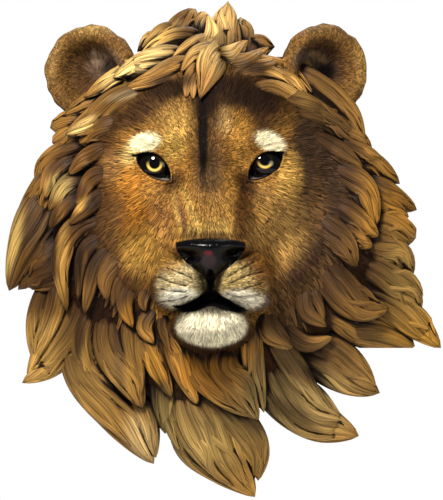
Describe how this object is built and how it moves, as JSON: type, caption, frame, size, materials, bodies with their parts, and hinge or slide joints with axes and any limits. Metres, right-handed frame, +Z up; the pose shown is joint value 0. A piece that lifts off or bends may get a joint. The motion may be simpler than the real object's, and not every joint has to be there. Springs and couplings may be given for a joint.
{
  "type": "lion head wall sculpture",
  "caption": "Lion head with a flowing carved mane, cast in resin and painted, with a flat back and a keyhole for hanging on a wall.",
  "frame": {"origin": "on the flat back, in the wall's plane, behind the forehead and just under the keyhole", "axes": "+Z up, -Y out of the wall along the lion's gaze, +X to the right of a person who faces it"},
  "size_m": [0.3539, 0.1624, 0.4039],
  "materials": {
    "painted_resin": "satin hand-painted golden brown"
  },
  "bodies": {
    "root": {"lion_head": "painted_resin"}
  },
  "joints": []
}
